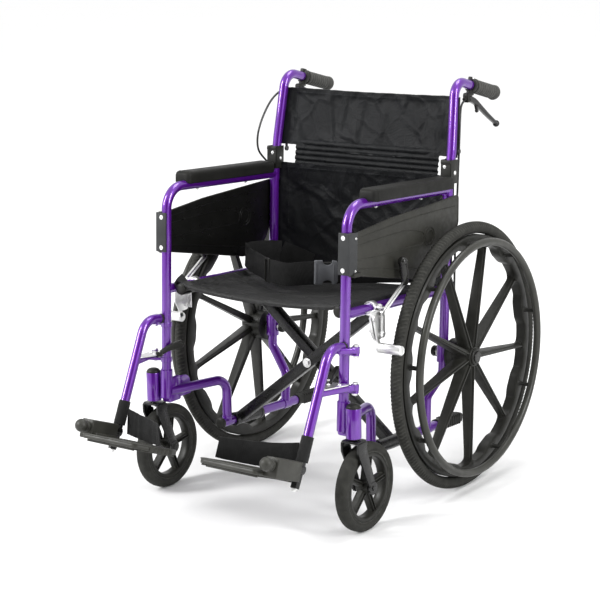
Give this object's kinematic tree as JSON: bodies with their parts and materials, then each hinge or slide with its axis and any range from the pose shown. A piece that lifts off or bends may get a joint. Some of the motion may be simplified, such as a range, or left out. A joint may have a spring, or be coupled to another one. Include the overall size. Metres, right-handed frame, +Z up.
{
  "type": "folding wheelchair",
  "caption": "Folding manual wheelchair with large spoked rear wheels, swivel casters, swing-away legrests, sling seat and a half-folding back with push handles.",
  "frame": {"origin": "on the floor under the middle of the chair's bounding box, at rest and unfolded", "axes": "+Z up, the chair faces -Y, the user's left is +X; +Y is the longest side and +X the shortest"},
  "size_m": [0.6954, 1.0135, 0.921],
  "materials": {
    "purple_paint": "glossy metallic purple lacquer on steel tube",
    "black_paint": "satin black powder coat",
    "black_plastic": "moulded, lightly textured",
    "wheel_plastic": "moulded glass-filled nylon, satin",
    "handrim_plastic": "smooth black coating",
    "armrest_foam": "self-skinned polyurethane foam",
    "bright_metal": "satin plated steel",
    "tyre": "matt dark grey rubber with a fine tread",
    "grip_rubber": "soft matt rubber",
    "cable_sheath": "smooth cable sheath",
    "nylon": "plain-woven black nylon",
    "webbing": "ribbed black webbing"
  },
  "bodies": {
    "axle_button_left": {"axle_button_left": "bright_metal"},
    "axle_button_right": {"axle_button_right": "bright_metal"},
    "back_latch_left": {"back_latch_left": "black_plastic"},
    "back_latch_right": {"back_latch_right": "black_plastic"},
    "back_left": {"back_cane_left": "purple_paint", "back_upper": "nylon", "grip_left": "grip_rubber"},
    "back_right": {"back_cane_right": "purple_paint", "grip_right": "grip_rubber"},
    "brace_a": {"brace_a": "black_paint", "lap_belt": "webbing", "seat_sling": "nylon"},
    "brace_b": {"brace_b": "black_paint"},
    "brake_lever_left": {"brake_lever_left": "black_paint"},
    "brake_lever_right": {"brake_lever_right": "black_paint"},
    "caster_left": {"caster_tyre_left": "tyre", "caster_wheel_left": "wheel_plastic"},
    "caster_right": {"caster_tyre_right": "tyre", "caster_wheel_right": "wheel_plastic"},
    "footplate_left": {"footplate_left": "black_plastic"},
    "footplate_right": {"footplate_right": "black_plastic"},
    "fork_left": {"fork_left": "black_paint"},
    "fork_right": {"fork_right": "black_paint"},
    "frame_left": {"armrest_pad_left": "armrest_foam", "back_bracket_left": "black_plastic", "back_lower": "nylon", "brake_cable_left": "cable_sheath", "caster_housing_left": "purple_paint", "front_frame_left": "purple_paint", "lock_bracket_left": "bright_metal", "lower_rail_left": "purple_paint", "rear_frame_left": "purple_paint", "side_guard_left": "black_plastic"},
    "frame_right": {"armrest_pad_right": "armrest_foam", "back_bracket_right": "black_plastic", "brake_cable_right": "cable_sheath", "caster_housing_right": "purple_paint", "front_frame_right": "purple_paint", "lock_bracket_right": "bright_metal", "lower_rail_right": "purple_paint", "rear_frame_right": "purple_paint", "side_guard_right": "black_plastic"},
    "legrest_left": {"footrest_stem_left": "black_paint", "hanger_left": "purple_paint", "heel_strap_left": "webbing"},
    "legrest_lever_left": {"legrest_lever_left": "black_plastic"},
    "legrest_lever_right": {"legrest_lever_right": "black_plastic"},
    "legrest_right": {"footrest_stem_right": "black_paint", "hanger_right": "purple_paint", "heel_strap_right": "webbing"},
    "lock_lever_left": {"lock_lever_left": "bright_metal"},
    "lock_lever_right": {"lock_lever_right": "bright_metal"},
    "lock_shoe_left": {"lock_shoe_left": "bright_metal"},
    "lock_shoe_right": {"lock_shoe_right": "bright_metal"},
    "wheel_left": {"handrim_left": "handrim_plastic", "rear_tyre_left": "tyre", "rear_wheel_left": "wheel_plastic"},
    "wheel_right": {"handrim_right": "handrim_plastic", "rear_tyre_right": "tyre", "rear_wheel_right": "wheel_plastic"}
  },
  "joints": [
    {"name": "fold", "type": "hinge", "parent": "frame_left", "child": "brace_a", "pos_m": [0.201, 0.03668, 0.12737], "axis": [0, 0.9986, -0.0523], "range_deg": [0, 45], "deforming": ["seat_sling", "lap_belt", "back_lower", "back_upper"]},
    {"name": "brace_cross", "type": "hinge", "parent": "brace_a", "child": "brace_b", "pos_m": [0, 0.01219, 0.29064], "axis": [0, -0.9986, 0.0523], "range_deg": [0, 90]},
    {"name": "fold_right", "type": "hinge", "parent": "brace_b", "child": "frame_right", "pos_m": [-0.201, 0.00372, 0.12909], "axis": [0, 0.9986, -0.0523], "range_deg": [0, 45]},
    {"name": "wheel_spin_left", "type": "hinge", "parent": "frame_left", "child": "wheel_left", "pos_m": [0.298, 0.2012, 0.305], "axis": [1, 0, 0], "continuous": true},
    {"name": "axle_button_left", "type": "slide", "parent": "frame_left", "child": "axle_button_left", "axis": [-1, 0, 0], "range_m": [0, 0.003], "stiffness_N_per_m": 400},
    {"name": "caster_swivel_left", "type": "hinge", "parent": "frame_left", "child": "fork_left", "pos_m": [0.273, -0.2178, 0], "axis": [0, 0, 1], "continuous": true},
    {"name": "caster_spin_left", "type": "hinge", "parent": "fork_left", "child": "caster_left", "pos_m": [0.273, -0.1788, 0.0975], "axis": [1, 0, 0], "continuous": true},
    {"name": "legrest_swing_left", "type": "hinge", "parent": "frame_left", "child": "legrest_left", "pos_m": [0.272, -0.20521, 0.40341], "axis": [0, 0.0523, 0.9986], "range_deg": [0, 90]},
    {"name": "legrest_lever_left", "type": "hinge", "parent": "legrest_left", "child": "legrest_lever_left", "pos_m": [0.23, -0.24634, 0.32545], "axis": [0, 0.0523, 0.9986], "range_deg": [0, 15], "stiffness_Nm_per_rad": 0.3},
    {"name": "footplate_left", "type": "hinge", "parent": "legrest_left", "child": "footplate_left", "pos_m": [0.247, -0.379, 0.1864], "axis": [0, 0.9354, -0.3535], "range_deg": [0, 90], "deforming": ["heel_strap_left"]},
    {"name": "lock_lever_left", "type": "hinge", "parent": "frame_left", "child": "lock_lever_left", "pos_m": [0.272, -0.1058, 0.417], "axis": [1, 0, 0], "range_deg": [0, 55]},
    {"name": "lock_shoe_left", "type": "hinge", "parent": "frame_left", "child": "lock_shoe_left", "pos_m": [0.272, -0.1338, 0.455], "axis": [1, 0, 0], "range_deg": [0, 7]},
    {"name": "back_fold_left", "type": "hinge", "parent": "frame_left", "child": "back_left", "pos_m": [0.242, 0.2232, 0.716], "axis": [-1, 0, 0], "range_deg": [0, 100], "deforming": ["brake_cable_left"]},
    {"name": "brake_lever_left", "type": "hinge", "parent": "back_left", "child": "brake_lever_left", "pos_m": [0.234, 0.3222, 0.872], "axis": [1, 0, 0], "range_deg": [0, 14], "stiffness_Nm_per_rad": 1},
    {"name": "back_latch_left", "type": "hinge", "parent": "frame_left", "child": "back_latch_left", "pos_m": [0.2225, 0.2412, 0.738], "axis": [-1, 0, 0], "range_deg": [0, 20], "stiffness_Nm_per_rad": 0.2},
    {"name": "wheel_spin_right", "type": "hinge", "parent": "frame_right", "child": "wheel_right", "pos_m": [-0.298, 0.2012, 0.305], "axis": [1, 0, 0], "continuous": true},
    {"name": "axle_button_right", "type": "slide", "parent": "frame_right", "child": "axle_button_right", "axis": [1, 0, 0], "range_m": [0, 0.003], "stiffness_N_per_m": 400},
    {"name": "caster_swivel_right", "type": "hinge", "parent": "frame_right", "child": "fork_right", "pos_m": [-0.273, -0.2178, 0], "axis": [0, 0, -1], "continuous": true},
    {"name": "caster_spin_right", "type": "hinge", "parent": "fork_right", "child": "caster_right", "pos_m": [-0.273, -0.1788, 0.0975], "axis": [1, 0, 0], "continuous": true},
    {"name": "legrest_swing_right", "type": "hinge", "parent": "frame_right", "child": "legrest_right", "pos_m": [-0.272, -0.20521, 0.40341], "axis": [0, -0.0523, -0.9986], "range_deg": [0, 90]},
    {"name": "legrest_lever_right", "type": "hinge", "parent": "legrest_right", "child": "legrest_lever_right", "pos_m": [-0.23, -0.24634, 0.32545], "axis": [0, -0.0523, -0.9986], "range_deg": [0, 15], "stiffness_Nm_per_rad": 0.3},
    {"name": "footplate_right", "type": "hinge", "parent": "legrest_right", "child": "footplate_right", "pos_m": [-0.247, -0.379, 0.1864], "axis": [0, -0.9354, 0.3535], "range_deg": [0, 90], "deforming": ["heel_strap_right"]},
    {"name": "lock_lever_right", "type": "hinge", "parent": "frame_right", "child": "lock_lever_right", "pos_m": [-0.272, -0.1058, 0.417], "axis": [1, 0, 0], "range_deg": [0, 55]},
    {"name": "lock_shoe_right", "type": "hinge", "parent": "frame_right", "child": "lock_shoe_right", "pos_m": [-0.272, -0.1338, 0.455], "axis": [1, 0, 0], "range_deg": [0, 7]},
    {"name": "back_fold_right", "type": "hinge", "parent": "frame_right", "child": "back_right", "pos_m": [-0.242, 0.2232, 0.716], "axis": [-1, 0, 0], "range_deg": [0, 100], "deforming": ["brake_cable_right"]},
    {"name": "brake_lever_right", "type": "hinge", "parent": "back_right", "child": "brake_lever_right", "pos_m": [-0.234, 0.3222, 0.872], "axis": [1, 0, 0], "range_deg": [0, 14], "stiffness_Nm_per_rad": 1},
    {"name": "back_latch_right", "type": "hinge", "parent": "frame_right", "child": "back_latch_right", "pos_m": [-0.2225, 0.2412, 0.738], "axis": [-1, 0, 0], "range_deg": [0, 20], "stiffness_Nm_per_rad": 0.2}
  ],
  "couplings": [
    {"joint": "brace_cross", "follows": "fold", "ratio": 2},
    {"joint": "fold_right", "follows": "fold", "ratio": 1},
    {"joint": "footplate_left", "follows": "fold", "ratio": 2},
    {"joint": "lock_shoe_left", "follows": "lock_lever_left", "ratio": 0.12727},
    {"joint": "footplate_right", "follows": "fold", "ratio": 2},
    {"joint": "lock_shoe_right", "follows": "lock_lever_right", "ratio": 0.12727},
    {"joint": "back_fold_right", "follows": "back_fold_left", "ratio": 1}
  ]
}
